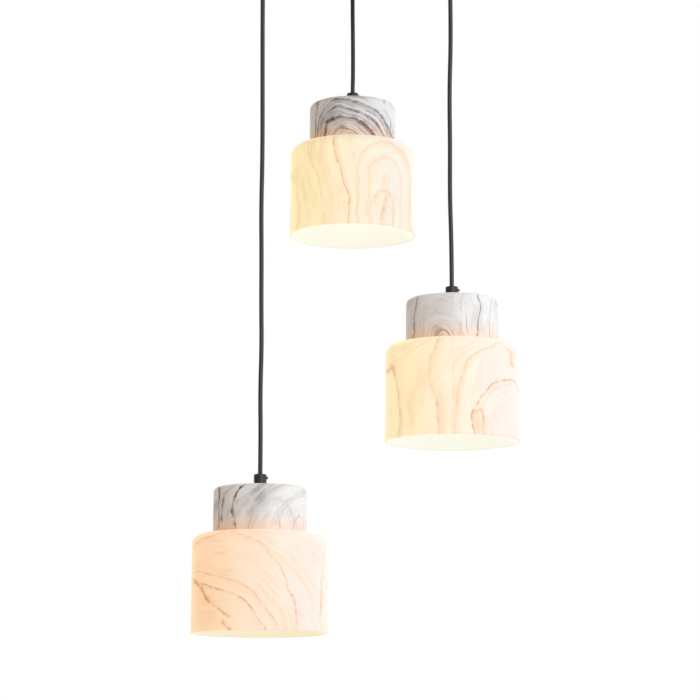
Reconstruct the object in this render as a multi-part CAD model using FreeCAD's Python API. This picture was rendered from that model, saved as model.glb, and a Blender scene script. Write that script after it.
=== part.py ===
"""Cluster pendant: one round ceiling canopy and three stone bowl shades hung at different heights.

Millimetres, +Z up. The origin is the centre of the ceiling bracket's top face, on the ceiling,
so everything hangs at negative Z. -Y is the side the room is seen from.
Each pendant is a cap over a wide bowl, both turned from stone, clamped round an E27 lampholder.
"""
import FreeCAD, Part

import math
import os

os.makedirs("parts", exist_ok=True)
V = FreeCAD.Vector
UP = V(0, 0, 1)

# ---------------------------------------------------------------- driving dimensions, mm

# The three pendants: where each cord leaves the canopy (degrees) and how far its rim hangs down
PENDANTS = {
    "high": {"angle": 90.0, "drop": 335.0},
    "mid": {"angle": 330.0, "drop": 606.0},
    "low": {"angle": 210.0, "drop": 817.0},
}

# Lower bowl, open downwards
BOWL_RIM_RADIUS = 75.0
BOWL_DRAFT = 1.0            # the wall is this much narrower at the shoulder
BOWL_HEIGHT = 108.5
BOWL_SHOULDER = 12.0        # outer fillet
BOWL_WALL = 4.0
BOWL_INNER_FILLET = 8.0
BOWL_RIM_CHAMFER = 0.8
HOLDER_HOLE_RADIUS = 21.0   # 42 mm hole for the lampholder

# Upper cap, standing on the bowl
CAP_RADIUS = 51.5
CAP_DRAFT = 0.5
CAP_HEIGHT = 51.5
CAP_SHOULDER = 6.0
CAP_WALL = 4.0
STUD_HOLE_RADIUS = 5.25     # clears an M10 tube

# Cord
CORD_RADIUS = 2.5
CORD_CLEARANCE = 0.1        # round the cord where it turns in its grip
SOFT_GAP = 0.3              # between the ends of two lengths of cord
BEND_SHARE = 0.45           # of the shorter run beside a bend, taken up by the bend

# Cord grip on top of each cap, with its side screw
GRIP_RADIUS = 7.0
GRIP_HEIGHT = 15.0
GRIP_EDGE = 1.6
GRIP_THREAD_DEPTH = 8.5
GRIP_SCREW_HEIGHT = 11.0
M3_RADIUS = 1.5
SCREW_PROUD = 1.6           # how far a grip screw's end stands out

# Threaded tube M10x1 and what runs on it
TUBE_RADIUS = 5.0
TUBE_BORE_RADIUS = 3.5
THREAD_CLEARANCE = 0.1
TUBE_TOP = 8.0              # above the cap, inside the grip
TUBE_BOTTOM = 13.5          # below the cap's top face
WASHER_THICKNESS = 1.0
WASHER_MARGIN = 2.0         # round the lock nut
LOCK_NUT_FLATS = 14.0
LOCK_NUT_THICKNESS = 3.0

# Lampholder E27: dome and skirt, porcelain core, shade ring
HOLDER_TOP = 9.5            # below the cap's top face
HOLDER_BOSS_RADIUS = 8.0
HOLDER_BOSS_HEIGHT = 2.5
HOLDER_RADIUS = 20.5
HOLDER_DOME = 11.0
HOLDER_WALL = 1.6
HOLDER_FLANGE_RADIUS = 24.0
HOLDER_FLANGE = 2.0
HOLDER_THREAD_RADIUS = 19.8
HOLDER_LENGTH = 70.5        # from the dome's top to the skirt's lower edge
CORE_CLEARANCE = 0.3
CORE_RECESS = 2.5           # the core's mouth inside the skirt
CORE_HEADROOM = 8.4         # over the core, inside the dome
CORE_NECK_HEIGHT = 11.0
CORE_NECK_SHARE = 0.6       # the neck's radius over the core's
SOCKET_RADIUS = 13.5
SOCKET_DEPTH = 27.5
RING_RADIUS = 28.5
RING_FLANGE = 2.2
RING_BARREL_RADIUS = 22.6
RING_HEIGHT = 11.0
RING_THREAD_CLEARANCE = 0.2
RING_LUGS = 8
RING_LUG_RADIUS = 1.8

# Lamp E27, 45 mm golf ball
LAMP_CAP_RADIUS = 13.1
LAMP_SKIRT_RADIUS = 14.2
LAMP_SKIRT = 3.2
LAMP_CAP_LENGTH = 21.0
LAMP_CONE = 3.6
LAMP_CONTACT_RADIUS = 4.6
LAMP_CONTACT = 1.6
LAMP_GLOBE_RADIUS = 22.5
LAMP_LENGTH = 78.7          # from the contact to the globe's lowest point
LAMP_EDGE = 1.0             # bevels of the cap
LAMP_NECK_RADIUS = 12.6
LAMP_NECK_FLARE = 5.0       # the neck is this much wider where it meets the ball
LAMP_WALL = 1.0
LAMP_GAP = 0.3              # between the lamp's contact and the holder's

# Ceiling canopy and its bracket
CANOPY_RADIUS = 150.0
CANOPY_HEIGHT = 25.0
CANOPY_WALL = 1.2
CANOPY_EDGE = 4.0
PORT_INSET = 27.4           # from the canopy's edge in to each cord
BRACKET_WIDTH = 30.0
BRACKET_THICKNESS = 1.5
BRACKET_FLANGE = 12.0
BRACKET_CLEARANCE = 0.3     # between a flange's corners and the canopy wall
SLOT_SPACING = 190.0
SLOT_LENGTH = 22.0
SLOT_RADIUS = 2.6
CABLE_HOLE_RADIUS = 10.0
SIDE_SCREW_DEPTH = 7.5      # below the ceiling
SIDE_SCREW_HEAD_RADIUS = 3.5
SIDE_SCREW_HEAD = 2.2
SIDE_SCREW_LENGTH = 8.0
SIDE_SCREW_SLOT = 1.0
SCREW_HOLE_CLEARANCE = 0.15
DRILL_PAST = 1.0            # how far a cut runs on past the surface

# Glands: the cord leaves the canopy here and can swing in the bell mouth
GLAND_RADIUS = 7.0
GLAND_DROP = 16.0           # below the canopy
GLAND_STEM_RADIUS = 5.0
GLAND_STEM = 8.5            # above the canopy's outer face
GLAND_BORE_RADIUS = 3.0
GLAND_MOUTH_RADIUS = 5.2
GLAND_EDGE = 1.2
PIVOT_DROP = 8.0            # the swing centre below the canopy
GLAND_SCREW_DROP = 3.4
GLAND_SCREW_PROUD = 0.4
GLAND_NUT_FLATS = 14.0
GLAND_NUT_THICKNESS = 3.0
BALL_RADIUS = 2.2
CORD_LIP = 1.0              # how far under the swing centre the cord's cupped end starts

# Wiring inside the canopy
LEAD_LEVEL = 7.0            # depth of the leads under the ceiling
LEAD_APPROACH = 21.0        # straight stretch before the terminal block
BLOCK_CENTRE_X = 34.0
BLOCK_LENGTH = 34.0
BLOCK_WIDTH = 18.0
BLOCK_HEIGHT = 12.0
BLOCK_PITCH = 10.0
BLOCK_SCREW_RADIUS = 1.6
BLOCK_SCREW_HEIGHT = 1.0
EARTH_X = 66.0
EARTH_SCREW_RADIUS = 2.0
EARTH_HEAD_RADIUS = 3.6
EARTH_HEAD = 2.4
EARTH_TAG_RADIUS = 4.4
EARTH_TAG = 0.8
EARTH_TONGUE_LENGTH = 3.0
EARTH_TONGUE_WIDTH = 3.0
EARTH_WIRE_RADIUS = 1.0
EARTH_WIRE_RUN = 4.0        # straight stretch at either end

# ---------------------------------------------------------------- worked out from the above

CAP_TOP = BOWL_HEIGHT + CAP_HEIGHT
CAP_INNER_TOP = CAP_TOP - CAP_WALL
BOWL_INNER_TOP = BOWL_HEIGHT - BOWL_WALL
LOCK_NUT_TOP = CAP_INNER_TOP - WASHER_THICKNESS
HOLDER_TOP_Z = CAP_TOP - HOLDER_TOP
FLANGE_BOTTOM = BOWL_HEIGHT + WASHER_THICKNESS
RING_TOP = BOWL_INNER_TOP - WASHER_THICKNESS
HOLDER_MOUTH = HOLDER_TOP_Z - HOLDER_LENGTH
CORE_MOUTH = HOLDER_MOUTH + CORE_RECESS
CORE_TOP = HOLDER_TOP_Z - HOLDER_BOSS_HEIGHT - HOLDER_WALL - CORE_HEADROOM
SOCKET_TOP = CORE_MOUTH + SOCKET_DEPTH
PORT_RADIUS = CANOPY_RADIUS - PORT_INSET
CANOPY_FLOOR = -CANOPY_HEIGHT
PIVOT_Z = CANOPY_FLOOR - PIVOT_DROP
TOUCHING = 1e-6             # closer than this, two points are one
FLANGE_X = math.sqrt((CANOPY_RADIUS - CANOPY_WALL) ** 2 - (BRACKET_WIDTH / 2) ** 2) - BRACKET_CLEARANCE


# ---------------------------------------------------------------- small helpers


def disc(radius, z0, z1, x=0.0, y=0.0):
    """Upright cylinder from z0 up to z1."""
    return Part.makeCylinder(radius, z1 - z0, V(x, y, z0))


def tube(outer, inner, z0, z1):
    return disc(outer, z0, z1).cut(disc(inner, z0, z1))


def box(x0, x1, y0, y1, z0, z1):
    return Part.makeBox(x1 - x0, y1 - y0, z1 - z0, V(x0, y0, z0))


def rod(radius, start, end):
    """Cylinder between two points."""
    return Part.makeCylinder(radius, (end - start).Length, start, end - start)


def hexagon(flats, z0, z1):
    """Nut blank, with the given width across flats."""
    corner = flats / math.sqrt(3)
    points = [V(corner * math.cos(math.pi / 3 * k), corner * math.sin(math.pi / 3 * k), z0) for k in range(7)]
    return Part.Face(Part.makePolygon(points)).extrude(V(0, 0, z1 - z0))


def turned(points, radii=None):
    """Solid of revolution about Z from a closed (r, z) outline; radii rounds the numbered corners."""
    radii = radii or {}
    count = len(points)
    edges = []
    starts, ends = [], []
    for k, (r, z) in enumerate(points):
        here = V(r, 0, z)
        if k not in radii:
            starts.append(here)
            ends.append(here)
            continue
        before = V(points[k - 1][0], 0, points[k - 1][1]) - here
        after = V(points[(k + 1) % count][0], 0, points[(k + 1) % count][1]) - here
        half = before.getAngle(after) / 2
        reach = radii[k] / math.tan(half)
        before.normalize()
        after.normalize()
        middle = before + after
        middle.normalize()
        centre = here + middle * (radii[k] / math.sin(half))
        first, last = here + before * reach, here + after * reach
        edges.append(Part.Arc(first, centre - middle * radii[k], last).toShape())
        starts.append(last)
        ends.append(first)
    for k in range(count):
        if (ends[(k + 1) % count] - starts[k]).Length > TOUCHING:
            edges.append(Part.makeLine(starts[k], ends[(k + 1) % count]))
    outline = Part.Wire(Part.__sortEdges__(edges))
    return Part.Face(outline).revolve(V(0, 0, 0), UP, 360)


def pipe(points, radius):
    """Round bar along straight runs joined by tangent arcs; prints the arcs' radii."""
    edges = []
    last = points[0]
    for k in range(1, len(points) - 1):
        here = points[k]
        back = points[k - 1] - here
        on = points[k + 1] - here
        turn = math.pi - back.getAngle(on)
        bend = BEND_SHARE * min(back.Length, on.Length) / math.tan(turn / 2)
        reach = bend * math.tan(turn / 2)
        back.normalize()
        on.normalize()
        middle = back + on
        middle.normalize()
        centre = here + middle * (bend / math.cos(turn / 2))
        first, end = here + back * reach, here + on * reach
        edges.append(Part.makeLine(last, first))
        edges.append(Part.Arc(first, centre - middle * bend, end).toShape())
        last = end
        print("arc radius %.1f" % bend)
    edges.append(Part.makeLine(last, points[-1]))
    path = Part.Wire(edges)
    start = points[1] - points[0]
    section = Part.Wire(Part.makeCircle(radius, points[0], start))
    solid = path.makePipeShell([section], True, False)
    expected = math.pi * radius**2 * path.Length
    print("pipe volume / section x length: %.4f" % (solid.Volume / expected))
    return solid


def placed(shape, at):
    moved = shape.copy()
    moved.translate(at)
    return moved


def save(name, *solids):
    """Write one node; several solids become a group."""
    shape = solids[0] if len(solids) == 1 else Part.makeCompound(list(solids))
    for solid in shape.Solids:
        assert solid.isValid(), name
    shape.exportStep("parts/%s.step" % name)


def port(pendant):
    """Where the pendant's cord leaves the canopy."""
    angle = math.radians(PENDANTS[pendant]["angle"])
    return V(PORT_RADIUS * math.cos(angle), PORT_RADIUS * math.sin(angle), 0)


# ---------------------------------------------------------------- stone shades, z from the bowl's rim


def lower_bowl():
    inner = BOWL_RIM_RADIUS - BOWL_WALL
    edge = BOWL_RIM_CHAMFER
    outline = [
        (HOLDER_HOLE_RADIUS, BOWL_INNER_TOP),
        (inner - BOWL_DRAFT, BOWL_INNER_TOP),
        (inner, edge),
        (inner + edge, 0),
        (BOWL_RIM_RADIUS - edge, 0),
        (BOWL_RIM_RADIUS, edge),
        (BOWL_RIM_RADIUS - BOWL_DRAFT, BOWL_HEIGHT),
        (HOLDER_HOLE_RADIUS, BOWL_HEIGHT),
    ]
    return turned(outline, {1: BOWL_INNER_FILLET, 6: BOWL_SHOULDER})


def upper_cap():
    inner = CAP_RADIUS - CAP_WALL
    outline = [
        (STUD_HOLE_RADIUS, CAP_INNER_TOP),
        (inner - CAP_DRAFT, CAP_INNER_TOP),
        (inner, BOWL_HEIGHT),
        (CAP_RADIUS, BOWL_HEIGHT),
        (CAP_RADIUS - CAP_DRAFT, CAP_TOP),
        (STUD_HOLE_RADIUS, CAP_TOP),
    ]
    return turned(outline, {1: CAP_SHOULDER - CAP_WALL / 2, 4: CAP_SHOULDER})


def stone_washers():
    """Soft rings where metal or plastic would bear on stone."""
    under_cap = tube(LOCK_NUT_FLATS / 2 + WASHER_MARGIN, STUD_HOLE_RADIUS, LOCK_NUT_TOP, CAP_INNER_TOP)
    on_bowl = tube(HOLDER_FLANGE_RADIUS, HOLDER_HOLE_RADIUS, BOWL_HEIGHT, FLANGE_BOTTOM)
    in_bowl = tube(RING_RADIUS, HOLDER_HOLE_RADIUS, RING_TOP, BOWL_INNER_TOP)
    return [under_cap, on_bowl, in_bowl]


# ---------------------------------------------------------------- cord grip, tube and lampholder


def cord_grip():
    bore = CORD_RADIUS + CORD_CLEARANCE
    thread = TUBE_RADIUS + THREAD_CLEARANCE
    outline = [
        (thread, CAP_TOP),
        (GRIP_RADIUS, CAP_TOP),
        (GRIP_RADIUS, CAP_TOP + GRIP_HEIGHT),
        (bore, CAP_TOP + GRIP_HEIGHT),
        (bore, CAP_TOP + GRIP_THREAD_DEPTH),
        (thread, CAP_TOP + GRIP_THREAD_DEPTH),
    ]
    height = CAP_TOP + GRIP_SCREW_HEIGHT
    hole = rod(M3_RADIUS + SCREW_HOLE_CLEARANCE, V(0, 0, height), V(GRIP_RADIUS + DRILL_PAST, 0, height))
    return turned(outline, {2: GRIP_EDGE}).cut(hole)


def side_screw(inner, outer, height):
    """Headless M3 screw lying along X, with a driver recess in its outer end."""
    screw = rod(M3_RADIUS, V(inner, 0, height), V(outer, 0, height))
    recess = rod(M3_RADIUS / 2, V(outer - M3_RADIUS, 0, height), V(outer, 0, height))
    return screw.cut(recess)


def grip_screw():
    tip = CORD_RADIUS + CORD_CLEARANCE
    return side_screw(tip, GRIP_RADIUS + SCREW_PROUD, CAP_TOP + GRIP_SCREW_HEIGHT)


def nipple():
    return tube(TUBE_RADIUS, TUBE_BORE_RADIUS, CAP_TOP - TUBE_BOTTOM, CAP_TOP + TUBE_TOP)


def lock_nut():
    bottom = LOCK_NUT_TOP - LOCK_NUT_THICKNESS
    blank = hexagon(LOCK_NUT_FLATS, bottom, LOCK_NUT_TOP)
    return blank.cut(disc(TUBE_RADIUS + THREAD_CLEARANCE, bottom, LOCK_NUT_TOP))


def holder_shell():
    """Dome with the M10 entry, a flange that stands on the bowl and a threaded skirt through it."""
    thread = TUBE_RADIUS + THREAD_CLEARANCE
    boss_bottom = HOLDER_TOP_Z - HOLDER_BOSS_HEIGHT
    dome_bottom = boss_bottom - HOLDER_DOME
    bore = HOLDER_THREAD_RADIUS - HOLDER_WALL
    outline = [
        (thread, HOLDER_TOP_Z),
        (HOLDER_BOSS_RADIUS, HOLDER_TOP_Z),
        (HOLDER_BOSS_RADIUS, boss_bottom),
        (HOLDER_RADIUS, dome_bottom),
        (HOLDER_RADIUS, FLANGE_BOTTOM + HOLDER_FLANGE),
        (HOLDER_FLANGE_RADIUS, FLANGE_BOTTOM + HOLDER_FLANGE),
        (HOLDER_FLANGE_RADIUS, FLANGE_BOTTOM),
        (HOLDER_THREAD_RADIUS, FLANGE_BOTTOM),
        (HOLDER_THREAD_RADIUS, HOLDER_MOUTH),
        (bore, HOLDER_MOUTH),
        (bore, dome_bottom),
        (HOLDER_BOSS_RADIUS, boss_bottom - HOLDER_WALL),
        (thread, boss_bottom - HOLDER_WALL),
    ]
    return turned(outline)


def holder_core():
    """Porcelain insert: the lamp screws into its lower end and the wires enter its top."""
    outer = HOLDER_THREAD_RADIUS - HOLDER_WALL - CORE_CLEARANCE
    body = disc(outer, CORE_MOUTH, CORE_TOP - CORE_NECK_HEIGHT)
    neck = disc(outer * CORE_NECK_SHARE, CORE_TOP - CORE_NECK_HEIGHT, CORE_TOP)
    return body.fuse(neck).removeSplitter().cut(disc(SOCKET_RADIUS, CORE_MOUTH, SOCKET_TOP))


def shade_ring():
    """Threaded ring under the bowl's top, with finger lugs round its barrel."""
    bottom = RING_TOP - RING_HEIGHT
    ring = disc(RING_RADIUS, RING_TOP - RING_FLANGE, RING_TOP)
    ring = ring.fuse(disc(RING_BARREL_RADIUS, bottom, RING_TOP - RING_FLANGE))
    for k in range(RING_LUGS):
        angle = 2 * math.pi * k / RING_LUGS
        x, y = RING_BARREL_RADIUS * math.cos(angle), RING_BARREL_RADIUS * math.sin(angle)
        ring = ring.fuse(disc(RING_LUG_RADIUS, bottom, RING_TOP - RING_FLANGE, x, y))
    return ring.removeSplitter().cut(disc(HOLDER_THREAD_RADIUS + RING_THREAD_CLEARANCE, bottom, RING_TOP))


# ---------------------------------------------------------------- lamp

CONTACT_TOP = SOCKET_TOP - LAMP_GAP
CONTACT_BOTTOM = CONTACT_TOP - LAMP_CONTACT
CONE_BOTTOM = CONTACT_BOTTOM - LAMP_CONE
LAMP_CAP_BOTTOM = CONE_BOTTOM - LAMP_CAP_LENGTH
LAMP_SKIRT_TOP = min(LAMP_CAP_BOTTOM + LAMP_SKIRT, CORE_MOUTH - LAMP_GAP)
LAMP_SKIRT_BOTTOM = LAMP_SKIRT_TOP - LAMP_EDGE - LAMP_SKIRT
GLOBE_CENTRE = CONTACT_TOP - LAMP_LENGTH + LAMP_GLOBE_RADIUS


def bulb_contact():
    return disc(LAMP_CONTACT_RADIUS, CONTACT_BOTTOM, CONTACT_TOP)


def bulb_cap():
    """Thin screw shell of the lamp with its flared skirt below and the insulating cone on top."""
    bore = LAMP_NECK_RADIUS - LAMP_WALL
    outline = [
        (0, CONTACT_BOTTOM),
        (LAMP_CONTACT_RADIUS, CONTACT_BOTTOM),
        (LAMP_CAP_RADIUS - LAMP_EDGE, CONE_BOTTOM),
        (LAMP_CAP_RADIUS, CONE_BOTTOM - LAMP_EDGE),
        (LAMP_CAP_RADIUS, LAMP_SKIRT_TOP),
        (LAMP_SKIRT_RADIUS, LAMP_SKIRT_TOP - LAMP_EDGE),
        (LAMP_SKIRT_RADIUS, LAMP_SKIRT_BOTTOM),
        (bore, LAMP_SKIRT_BOTTOM),
        (bore, CONE_BOTTOM - LAMP_EDGE),
        (0, CONE_BOTTOM - LAMP_EDGE),
    ]
    return turned(outline)


def lamp_form(inset):
    """Ball and neck, every wall set in by the same amount."""
    ball_radius = LAMP_GLOBE_RADIUS - inset
    top_radius = LAMP_NECK_RADIUS - inset
    low_radius = top_radius + LAMP_NECK_FLARE
    meet = GLOBE_CENTRE + math.sqrt(ball_radius**2 - low_radius**2)
    neck = Part.makeCone(low_radius, top_radius, LAMP_SKIRT_BOTTOM - meet, V(0, 0, meet))
    return Part.makeSphere(ball_radius, V(0, 0, GLOBE_CENTRE)).fuse(neck).removeSplitter()


def bulb_globe():
    """Hollow opal ball, its neck open where it is set into the lamp's cap."""
    return lamp_form(0).cut(lamp_form(LAMP_WALL))


# ---------------------------------------------------------------- cord


def cord_bend():
    """The short ball of cord that the swing turns about."""
    return Part.makeSphere(BALL_RADIUS)


def cord(bottom):
    """Straight cord from under the swing centre, cupped round the ball, down to the lampholder."""
    bar = disc(CORD_RADIUS, bottom, -CORD_LIP)
    return bar.cut(Part.makeSphere(BALL_RADIUS + SOFT_GAP))


# ---------------------------------------------------------------- canopy, z from the ceiling


def canopy_cup():
    inner = CANOPY_RADIUS - CANOPY_WALL
    outline = [
        (0, CANOPY_FLOOR),
        (CANOPY_RADIUS, CANOPY_FLOOR),
        (CANOPY_RADIUS, 0),
        (inner, 0),
        (inner, CANOPY_FLOOR + CANOPY_WALL),
        (0, CANOPY_FLOOR + CANOPY_WALL),
    ]
    cup = turned(outline, {1: CANOPY_EDGE, 4: CANOPY_EDGE - CANOPY_WALL})
    stem = GLAND_STEM_RADIUS + THREAD_CLEARANCE
    for pendant in PENDANTS:
        at = port(pendant)
        cup = cup.cut(disc(stem, CANOPY_FLOOR, CANOPY_FLOOR + CANOPY_WALL, at.x, at.y))
    across = CANOPY_RADIUS + DRILL_PAST
    level = -SIDE_SCREW_DEPTH
    return cup.cut(rod(M3_RADIUS + SCREW_HOLE_CLEARANCE, V(-across, 0, level), V(across, 0, level)))


def ceiling_bracket():
    """Strip across the canopy with turned-down ends, two slots, a cable hole and an earth hole."""
    half = BRACKET_WIDTH / 2
    strip = box(-FLANGE_X, FLANGE_X, -half, half, -BRACKET_THICKNESS, 0)
    for side in (-1, 1):
        x0, x1 = sorted((side * FLANGE_X, side * (FLANGE_X - BRACKET_THICKNESS)))
        strip = strip.fuse(box(x0, x1, -half, half, -BRACKET_FLANGE, 0))
        centre = side * SLOT_SPACING / 2
        straight = SLOT_LENGTH / 2 - SLOT_RADIUS
        slot = box(centre - straight, centre + straight, -SLOT_RADIUS, SLOT_RADIUS, -BRACKET_THICKNESS, 0)
        slot = slot.fuse(disc(SLOT_RADIUS, -BRACKET_THICKNESS, 0, centre - straight))
        slot = slot.fuse(disc(SLOT_RADIUS, -BRACKET_THICKNESS, 0, centre + straight))
        strip = strip.cut(slot)
    strip = strip.cut(disc(CABLE_HOLE_RADIUS, -BRACKET_THICKNESS, 0))
    strip = strip.cut(disc(EARTH_SCREW_RADIUS + SCREW_HOLE_CLEARANCE, -BRACKET_THICKNESS, 0, EARTH_X))
    level = -SIDE_SCREW_DEPTH
    drill = rod(M3_RADIUS + SCREW_HOLE_CLEARANCE, V(-CANOPY_RADIUS, 0, level), V(CANOPY_RADIUS, 0, level))
    return strip.cut(drill).removeSplitter()


def canopy_screws():
    """Pan-headed side screws that hold the canopy on the bracket."""
    screws = []
    for side in (-1, 1):
        face = side * CANOPY_RADIUS
        level = -SIDE_SCREW_DEPTH
        head = rod(SIDE_SCREW_HEAD_RADIUS, V(face, 0, level), V(face + side * SIDE_SCREW_HEAD, 0, level))
        x0, x1 = sorted((face + side * SIDE_SCREW_HEAD / 2, face + side * (SIDE_SCREW_HEAD + DRILL_PAST)))
        half = SIDE_SCREW_SLOT / 2
        slot = box(x0, x1, -SIDE_SCREW_HEAD_RADIUS, SIDE_SCREW_HEAD_RADIUS, level - half, level + half)
        shank = rod(M3_RADIUS, V(face - side * SIDE_SCREW_LENGTH, 0, level), V(face, 0, level))
        screws.append(head.cut(slot).fuse(shank).removeSplitter())
    return screws


def gland():
    """Strain relief through the canopy's floor with a bell mouth for the cord's swing."""
    bottom = CANOPY_FLOOR - GLAND_DROP
    outline = [
        (GLAND_BORE_RADIUS, CANOPY_FLOOR + GLAND_STEM),
        (GLAND_BORE_RADIUS, PIVOT_Z),
        (GLAND_MOUTH_RADIUS, bottom),
        (GLAND_RADIUS, bottom),
        (GLAND_RADIUS, CANOPY_FLOOR),
        (GLAND_STEM_RADIUS, CANOPY_FLOOR),
        (GLAND_STEM_RADIUS, CANOPY_FLOOR + GLAND_STEM),
    ]
    body = turned(outline, {3: GLAND_EDGE})
    height = CANOPY_FLOOR - GLAND_SCREW_DROP
    hole = rod(M3_RADIUS + SCREW_HOLE_CLEARANCE, V(0, 0, height), V(GLAND_RADIUS + DRILL_PAST, 0, height))
    return body.cut(hole)


def gland_nut():
    bottom = CANOPY_FLOOR + CANOPY_WALL
    blank = hexagon(GLAND_NUT_FLATS, bottom, bottom + GLAND_NUT_THICKNESS)
    return blank.cut(disc(GLAND_STEM_RADIUS + THREAD_CLEARANCE, bottom, bottom + GLAND_NUT_THICKNESS))


def gland_screw():
    tip = CORD_RADIUS + CORD_CLEARANCE
    return side_screw(tip, GLAND_RADIUS + GLAND_SCREW_PROUD, CANOPY_FLOOR - GLAND_SCREW_DROP)


def lead(pendant):
    """Cord inside the canopy, from the gland up and across to its pole of the terminal block."""
    at = port(pendant)
    pole = {"low": -1, "high": 0, "mid": 1}[pendant]
    side = math.copysign(1, at.y)
    x = BLOCK_CENTRE_X + pole * BLOCK_PITCH
    face = side * (BLOCK_WIDTH / 2 + SOFT_GAP)
    return pipe(
        [
            V(at.x, at.y, PIVOT_Z + BALL_RADIUS + SOFT_GAP),
            V(at.x, at.y, -LEAD_LEVEL),
            V(x, face + side * LEAD_APPROACH, -LEAD_LEVEL),
            V(x, face, -LEAD_LEVEL),
        ],
        CORD_RADIUS,
    )


def terminal_block():
    """Three-pole connector under the bracket, with a screw well over each pole's two ends."""
    top = -BRACKET_THICKNESS
    bottom = top - BLOCK_HEIGHT
    half = BLOCK_WIDTH / 2
    well = BLOCK_SCREW_RADIUS + SCREW_HOLE_CLEARANCE
    x0, x1 = BLOCK_CENTRE_X - BLOCK_LENGTH / 2, BLOCK_CENTRE_X + BLOCK_LENGTH / 2
    block = box(x0, x1, -half, half, bottom, top)
    for x, y in block_wells():
        block = block.cut(disc(well, bottom, bottom + BLOCK_HEIGHT / 2, x, y))
    return block


def block_wells():
    row = BLOCK_WIDTH / 4
    return [(BLOCK_CENTRE_X + k * BLOCK_PITCH, side * row) for k in (-1, 0, 1) for side in (-1, 1)]


def terminal_screws():
    bottom = -BRACKET_THICKNESS - BLOCK_HEIGHT + BLOCK_SCREW_HEIGHT
    top = -BRACKET_THICKNESS - BLOCK_HEIGHT / 2
    return [disc(BLOCK_SCREW_RADIUS, bottom, top, x, y) for x, y in block_wells()]


def earth_screw():
    under_tag = -BRACKET_THICKNESS - EARTH_TAG
    head = disc(EARTH_HEAD_RADIUS, under_tag - EARTH_HEAD, under_tag, EARTH_X)
    return head.fuse(disc(EARTH_SCREW_RADIUS, under_tag, 0, EARTH_X)).removeSplitter()


def earth_wire():
    """Ring tag under the earth screw and the wire from it to the end of the block."""
    top = -BRACKET_THICKNESS
    crimp = top - EARTH_TAG - EARTH_WIRE_RADIUS / 2
    inner = EARTH_SCREW_RADIUS + SCREW_HOLE_CLEARANCE
    tag = disc(EARTH_TAG_RADIUS, top - EARTH_TAG, top, EARTH_X)
    tag = tag.cut(disc(inner, top - EARTH_TAG, top, EARTH_X))
    end = EARTH_X - EARTH_TAG_RADIUS
    half = EARTH_TONGUE_WIDTH / 2
    tongue = box(end - EARTH_TONGUE_LENGTH, EARTH_X - inner, -half, half, top - EARTH_TAG, top)
    block_end = BLOCK_CENTRE_X + BLOCK_LENGTH / 2
    wire = pipe(
        [
            V(end, 0, crimp),
            V(end - EARTH_WIRE_RUN, 0, crimp),
            V(block_end + EARTH_WIRE_RUN, 0, -LEAD_LEVEL),
            V(block_end, 0, -LEAD_LEVEL),
        ],
        EARTH_WIRE_RADIUS,
    )
    return tag.fuse([tongue, wire]).removeSplitter()


# ---------------------------------------------------------------- build

HEAD_PIECES = {
    "lower_bowl": lower_bowl(),
    "upper_cap": upper_cap(),
    "cord_grip": cord_grip(),
    "grip_screw": grip_screw(),
    "nipple": nipple(),
    "lock_nut": lock_nut(),
    "holder_shell": holder_shell(),
    "holder_core": holder_core(),
    "shade_ring": shade_ring(),
    "bulb_contact": bulb_contact(),
    "bulb_cap": bulb_cap(),
    "bulb_globe": bulb_globe(),
}
CORD_END = CORE_TOP + SOFT_GAP

for pendant, place in PENDANTS.items():
    rim = port(pendant) - UP * place["drop"]
    pivot = port(pendant) + UP * PIVOT_Z
    for name, piece in HEAD_PIECES.items():
        save("%s_%s" % (name, pendant), placed(piece, rim))
    save("stone_washers_%s" % pendant, *[placed(w, rim) for w in stone_washers()])
    save("cord_bend_%s" % pendant, placed(cord_bend(), pivot))
    save("cord_%s" % pendant, placed(cord(CORD_END - place["drop"] - PIVOT_Z), pivot))
    save("lead_%s" % pendant, lead(pendant))

save("canopy_cup", canopy_cup())
save("ceiling_bracket", ceiling_bracket())
save("canopy_screws", *canopy_screws())
save("terminal_block", terminal_block())
save("terminal_screws", *terminal_screws())
save("earth_screw", earth_screw())
save("earth_wire", earth_wire())
save("glands", *[placed(gland(), port(p)) for p in PENDANTS])
save("gland_nuts", *[placed(gland_nut(), port(p)) for p in PENDANTS])
save("gland_screws", *[placed(gland_screw(), port(p)) for p in PENDANTS])
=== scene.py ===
"""Looks of a cluster pendant: three marbled stone shades on black cords under a round canopy."""

import math

import bmesh
import bpy
from bpy.props import FloatProperty, FloatVectorProperty, PointerProperty
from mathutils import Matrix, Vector


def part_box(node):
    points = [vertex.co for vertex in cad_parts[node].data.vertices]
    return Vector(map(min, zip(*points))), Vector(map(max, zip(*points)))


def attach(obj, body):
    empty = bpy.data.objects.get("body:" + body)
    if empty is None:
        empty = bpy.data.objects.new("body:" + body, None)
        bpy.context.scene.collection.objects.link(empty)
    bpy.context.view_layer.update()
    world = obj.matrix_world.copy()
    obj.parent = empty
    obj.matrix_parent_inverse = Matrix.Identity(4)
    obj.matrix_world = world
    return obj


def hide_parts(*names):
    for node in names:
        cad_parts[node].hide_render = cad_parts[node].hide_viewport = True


bl_info = {
    "name": "Stone cluster pendant",
    "version": (1, 0, 0),
    "blender": (4, 5, 0),
    "location": "View3D > Sidebar > Pendant",
    "description": "Finishes, cords, lamps and studio of a three-light stone pendant",
    "category": "Object",
}

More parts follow.
